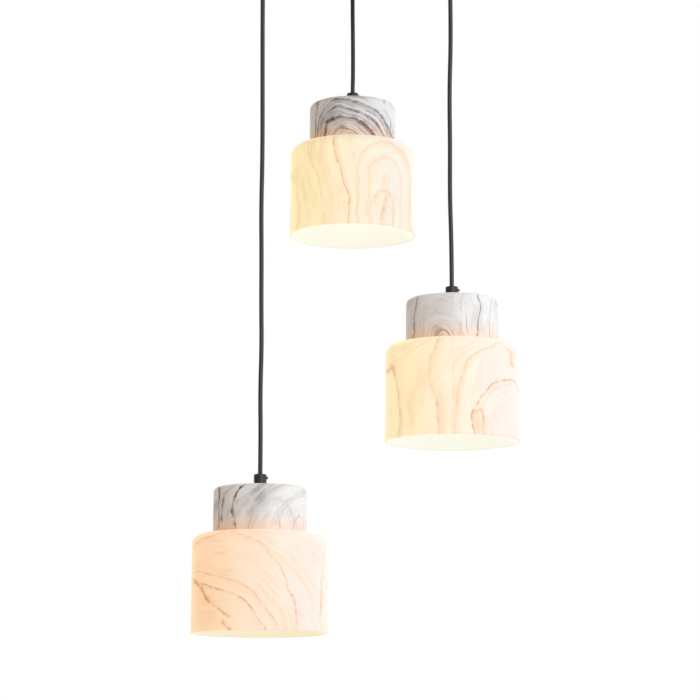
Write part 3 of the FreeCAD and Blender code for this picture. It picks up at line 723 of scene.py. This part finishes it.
class PENDANT_OT_cords(bpy.types.Operator):
    bl_idname = "pendant.cords"
    bl_label = "Cords"

    def execute(self, context):
        settings = context.scene.pendant_cord
        jacket = jacket_material(settings)
        give_all(("cord_bend", "lead"), jacket)
        for pendant in PENDANTS:
            node = "cord_" + pendant
            low, high = node_box(node)
            middle = (low + high) / 2
            data = bpy.data.curves.new("free_cord_" + pendant, "CURVE")
            data.dimensions = "3D"
            data.bevel_depth = settings.diameter / 2
            data.bevel_resolution = CORD_ROUND
            data.resolution_u = CORD_STEPS
            data.use_fill_caps = True
            spline = data.splines.new("NURBS")
            waves = CORD_WAVES[pendant]
            spline.points.add(len(waves) - 1)
            for point, (share, side, fore) in zip(spline.points, waves):
                down = high.z + share * (low.z - high.z)
                point.co = (middle.x + side * MM, middle.y + fore * MM, down, 1.0)
            spline.order_u = 3
            spline.use_endpoint_u = True
            piece = bpy.data.objects.new("free_cord_" + pendant, data)
            context.collection.objects.link(piece)
            data.materials.append(jacket)
            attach(piece, "cord_body_" + pendant)
            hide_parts(node)
        return {"FINISHED"}


# ---------------------------------------------------------------- fittings, lampholders and lamps


class PENDANT_OT_fittings(bpy.types.Operator):
    """Finish the cord grips, glands, nuts, tubes and washers"""

    bl_idname = "pendant.fittings"
    bl_label = "Grips and fittings"

    def execute(self, context):
        black = black_paint("black fittings")
        screws = plated_steel("black screws", (0.16, 0.16, 0.165), 0.4)
        zinc = plated_steel("zinc plate", (0.62, 0.62, 0.63))
        silicone = moulded("silicone washer", (0.74, 0.73, 0.7), 0.4)
        give_all(("cord_grip",), black)
        give_all(("grip_screw",), screws)
        give_all(("nipple", "lock_nut"), zinc)
        give_all(("stone_washers",), silicone)
        give("glands", black)
        give("gland_screws", screws)
        give("gland_nuts", zinc)
        return {"FINISHED"}


class PENDANT_OT_canopy(bpy.types.Operator):
    """Finish the canopy, its bracket and the wiring inside"""

    bl_idname = "pendant.canopy"
    bl_label = "Canopy"

    def execute(self, context):
        give("canopy_cup", black_paint("canopy coat", (0.03, 0.03, 0.032), 0.45))
        give("ceiling_bracket", plated_steel("bracket plate", (0.66, 0.66, 0.66), 0.36))
        give("canopy_screws", plated_steel("side screws", (0.2, 0.2, 0.2), 0.35))
        give("terminal_block", moulded("white polyamide", (0.82, 0.82, 0.79), 0.5))
        brass = plated_steel("bright brass", (0.78, 0.56, 0.26), 0.28)
        give_each(("terminal_screws", "earth_screw"), brass)
        give("earth_wire", moulded("earth jacket", (0.22, 0.5, 0.08), 0.45))
        return {"FINISHED"}


# the outlines run down the outside and up the inside, as (radius, height over the bowl's rim) in millimetres
CAP_OUTLINE = (
    (0, 108.1), (4.6, 108.1), (12.1, 104.5), (13.1, 103.5), (13.1, 82.2), (14.2, 81.2), (14.2, 78.0),
    (11.6, 78.0), (11.6, 103.5), (0, 103.5))
CAP_THREAD = (13.1, 103.4, 83.6, 0.9)    # radius, top, bottom and depth
SHELL_OUTLINE = (
    (5.1, 150.5), (8, 150.5), (8, 148), (11.5, 146.6), (15.2, 143.8), (18.4, 140.4), (20.5, 137),
    (20.5, 111.5), (24, 111.5), (24, 109.5), (19.8, 109.5), (19.8, 80), (18.2, 80), (18.2, 137),
    (8, 146.4), (5.1, 146.4), (5.1, 150.5))
SHELL_THREAD = (19.8, 107.5, 81.0, 0.8)
CAP_EDGE = 0.25                          # bevels, in millimetres
SHELL_EDGE = 0.4
ROUND_STEPS = 64                         # steps round a turned piece
THREAD_STEPS = 8                         # steps along each turn of a thread
SHARP = 0.5                              # edges that turn more than this, in radians, are bevelled
TOUCHING = 0.001 * MM                    # points closer than this are one
THREAD_WALL = 0.1                        # points this close to the crest are on the threaded wall


def with_steps(outline, thread, pitch):
    """The outline with close points along its threaded wall."""
    radius, top, bottom, _ = thread
    count = round((top - bottom) / pitch * THREAD_STEPS)
    points = []
    for here, ahead in zip(outline, outline[1:]):
        points.append(here)
        if here[0] == ahead[0] == radius and here[1] >= top and ahead[1] <= bottom:
            points += [(radius, top + (bottom - top) * k / count) for k in range(count + 1)]
    return points + [outline[-1]]


def roll_thread(form, thread, pitch):
    """Press a rounded thread into a turned wall, running out over one turn at each end."""
    crest, top, bottom, depth = thread
    for vert in form.verts:
        x, y, z = (c / MM for c in vert.co)
        radius = math.hypot(x, y)
        if bottom <= z <= top and radius > crest - THREAD_WALL:
            ends = min(1.0, (top - z) / pitch, (z - bottom) / pitch)
            wave = 0.5 - 0.5 * math.cos(math.tau * z / pitch + math.atan2(y, x))
            share = 1 - depth * ends * wave / radius
            vert.co.x *= share
            vert.co.y *= share


def turned(name, pendant, outline, thread, pitch, edge):
    """Turn an outline round a pendant's axis, bevel its corners and thread its outer wall."""
    form = bmesh.new()
    verts = [form.verts.new((r * MM, 0.0, z * MM)) for r, z in with_steps(outline, thread, pitch)]
    edges = [form.edges.new(pair) for pair in zip(verts, verts[1:])]
    bmesh.ops.spin(
        form, geom=verts + edges, axis=(0, 0, 1), cent=(0, 0, 0), angle=math.tau, steps=ROUND_STEPS)
    bmesh.ops.remove_doubles(form, verts=form.verts, dist=TOUCHING)
    bmesh.ops.recalc_face_normals(form, faces=form.faces)
    corners = [e for e in form.edges if e.is_manifold and e.calc_face_angle() > SHARP]
    bmesh.ops.bevel(
        form, geom=corners, offset=edge * MM, segments=2, profile=0.5, affect="EDGES", clamp_overlap=True)
    roll_thread(form, thread, pitch)
    for face in form.faces:
        face.smooth = True
    bmesh.ops.translate(form, verts=form.verts, vec=axis_of(pendant))
    mesh = bpy.data.meshes.new(name + "_" + pendant)
    form.to_mesh(mesh)
    form.free()
    return bpy.data.objects.new(name + "_" + pendant, mesh)


def stand_in(context, piece, material, body, node):
    """Show a modelled piece in place of its CAD node."""
    piece.data.materials.append(material)
    context.collection.objects.link(piece)
    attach(piece, body)
    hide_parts(node)


class PENDANT_OT_lamps(bpy.types.Operator):
    """Roll the lamps' caps, cut the holders' threads, and finish the lamps and holders"""

    bl_idname = "pendant.lamps"
    bl_label = "Lamps and holders"

    def execute(self, context):
        settings = context.scene.pendant_lamp
        plastic = moulded("white thermoplastic", (0.8, 0.79, 0.76), 0.42)
        porcelain = moulded("glazed porcelain", (0.86, 0.85, 0.82), 0.15, 0.6)
        shell = plated_steel("rolled lamp cap", (0.78, 0.78, 0.78), 0.25)
        solder = plated_steel("contact solder", (0.7, 0.66, 0.58), 0.4)
        opal = Finish("opal globe")
        haze = opal.noise(opal.place(), 60.0, 1.0)
        opal.set(
            Base_Color=opal.mix(haze, (0.9, 0.88, 0.84), (0.95, 0.94, 0.92)), Roughness=0.22,
            Emission_Color=settings.light, Emission_Strength=settings.strength)
        give_all(("shade_ring",), plastic)
        give_all(("holder_core",), porcelain)
        give_all(("bulb_contact",), solder)
        give_all(("bulb_globe",), opal.material)
        for pendant in PENDANTS:
            cap = turned("rolled_cap", pendant, CAP_OUTLINE, CAP_THREAD, settings.cap_thread / MM, CAP_EDGE)
            stand_in(context, cap, shell, "bulb_" + pendant, "bulb_cap_" + pendant)
            skirt = turned(
                "threaded_shell", pendant, SHELL_OUTLINE, SHELL_THREAD, settings.skirt_thread / MM, SHELL_EDGE)
            stand_in(context, skirt, plastic, "shade_" + pendant, "holder_shell_" + pendant)
        return {"FINISHED"}


# ---------------------------------------------------------------- stage


BRIGHT_WAY = (0.95, 0.31, -0.3)      # towards the bright side of the studio
SHADE_START, SHADE_END = -0.95, 0.05  # where along that way the shade ends and full light begins
PLAIN_WHITE = (1.0, 1.0, 1.0, 1.0)


def studio_world(settings):
    """Light from behind and the right, warmer and dimmer from the left, before a plain white backdrop."""
    world = bpy.data.worlds.new("studio")
    bpy.context.scene.world = world
    world.use_nodes = True
    nodes, links = world.node_tree.nodes, world.node_tree.links
    background = nodes["Background"]
    place = nodes.new("ShaderNodeTexCoord")
    towards = nodes.new("ShaderNodeVectorMath")
    towards.operation = "DOT_PRODUCT"
    towards.inputs[1].default_value = BRIGHT_WAY
    fade = nodes.new("ShaderNodeMapRange")
    fade.interpolation_type = "SMOOTHSTEP"
    fade.inputs["From Min"].default_value = SHADE_START
    fade.inputs["From Max"].default_value = SHADE_END
    mix = nodes.new("ShaderNodeMix")
    mix.data_type = "RGBA"
    mix.inputs[6].default_value = (*settings.shade_side, 1.0)
    mix.inputs[7].default_value = (*settings.bright_side, 1.0)
    links.new(place.outputs["Generated"], towards.inputs[0])
    links.new(towards.outputs["Value"], fade.inputs["Value"])
    links.new(fade.outputs["Result"], mix.inputs["Factor"])
    seen = nodes.new("ShaderNodeMix")
    seen.data_type = "RGBA"
    seen.inputs[7].default_value = PLAIN_WHITE
    links.new(nodes.new("ShaderNodeLightPath").outputs["Is Camera Ray"], seen.inputs["Factor"])
    links.new(mix.outputs[2], seen.inputs[6])
    links.new(seen.outputs[2], background.inputs["Color"])


SENSOR = 36.0           # width of the camera's sensor, in millimetres
SIGHT = 60.0            # how far the camera sees, in metres
FLOOR_SPREAD = 3.0      # the floor's radius over its depth under the ceiling
FLOOR_STEPS = 96
KEY_SIZE = 1.4
KEY_PLACE = (1.5, -2.5, 0.2)
KEY_AIM = (0.0, 0.0, -0.5)


class PENDANT_OT_stage(bpy.types.Operator):
    """Set up the camera, the pale floor and the soft light"""

    bl_idname = "pendant.stage"
    bl_label = "Stage"

    def execute(self, context):
        settings = context.scene.pendant_stage
        context.scene.view_settings.view_transform = "Standard"
        studio_world(settings)
        data = bpy.data.cameras.new("camera")
        data.lens = settings.lens
        data.sensor_width = SENSOR
        data.clip_end = SIGHT
        camera = bpy.data.objects.new("camera", data)
        camera.location = settings.camera_place
        camera.rotation_euler = (math.pi / 2 + settings.tilt, 0.0, -settings.turn)
        context.collection.objects.link(camera)
        context.scene.camera = camera
        form = bmesh.new()
        bmesh.ops.create_circle(
            form, cap_ends=True, segments=FLOOR_STEPS, radius=FLOOR_SPREAD * settings.floor_drop)
        bmesh.ops.translate(form, verts=form.verts, vec=(0.0, 0.0, -settings.floor_drop))
        mesh = bpy.data.meshes.new("floor")
        form.to_mesh(mesh)
        form.free()
        floor = bpy.data.objects.new("floor", mesh)
        finish = Finish("pale floor")
        tone = finish.noise(finish.place(), 3.0, 3.0)
        dark = tuple(c * 0.97 for c in settings.floor_colour)
        finish.set(Base_Color=finish.mix(tone, dark, settings.floor_colour), Roughness=0.8)
        mesh.materials.append(finish.material)
        context.collection.objects.link(floor)
        light = bpy.data.lights.new("key", "AREA")
        light.energy = settings.key_power
        light.shape = "DISK"
        light.size = KEY_SIZE
        key = bpy.data.objects.new("key", light)
        key.location = KEY_PLACE
        aim = Vector(KEY_AIM) - key.location
        key.rotation_euler = aim.to_track_quat("-Z", "Y").to_euler()
        context.collection.objects.link(key)
        return {"FINISHED"}


# ---------------------------------------------------------------- panel and registration


class PENDANT_PT_panel(bpy.types.Panel):
    """The pieces of the pendant and their settings"""

    bl_idname = "PENDANT_PT_panel"
    bl_label = "Pendant"
    bl_space_type = "VIEW_3D"
    bl_region_type = "UI"
    bl_category = "Pendant"

    def draw(self, context):
        for operator in OPERATORS:
            self.layout.operator(operator.bl_idname)
        for name in SETTINGS:
            group = getattr(context.scene, name)
            box = self.layout.box()
            for key in group.__annotations__:
                box.prop(group, key)


SETTINGS = {
    "pendant_stone": StoneSettings,
    "pendant_cord": CordSettings,
    "pendant_lamp": LampSettings,
    "pendant_stage": StageSettings,
}
OPERATORS = (
    PENDANT_OT_stage, PENDANT_OT_cords, PENDANT_OT_stone, PENDANT_OT_fittings, PENDANT_OT_canopy,
    PENDANT_OT_lamps)
CLASSES = (*SETTINGS.values(), *OPERATORS, PENDANT_PT_panel)


def register():
    for cls in CLASSES:
        bpy.utils.register_class(cls)
    for name, group in SETTINGS.items():
        setattr(bpy.types.Scene, name, PointerProperty(type=group))


def unregister():
    for name in SETTINGS:
        delattr(bpy.types.Scene, name)
    for cls in reversed(CLASSES):
        bpy.utils.unregister_class(cls)


def main():
    register()
    bpy.ops.pendant.stage()
    bpy.ops.pendant.cords()
    bpy.ops.pendant.stone()
    bpy.ops.pendant.fittings()
    bpy.ops.pendant.canopy()
    bpy.ops.pendant.lamps()


if __name__ == "__main__":
    main()
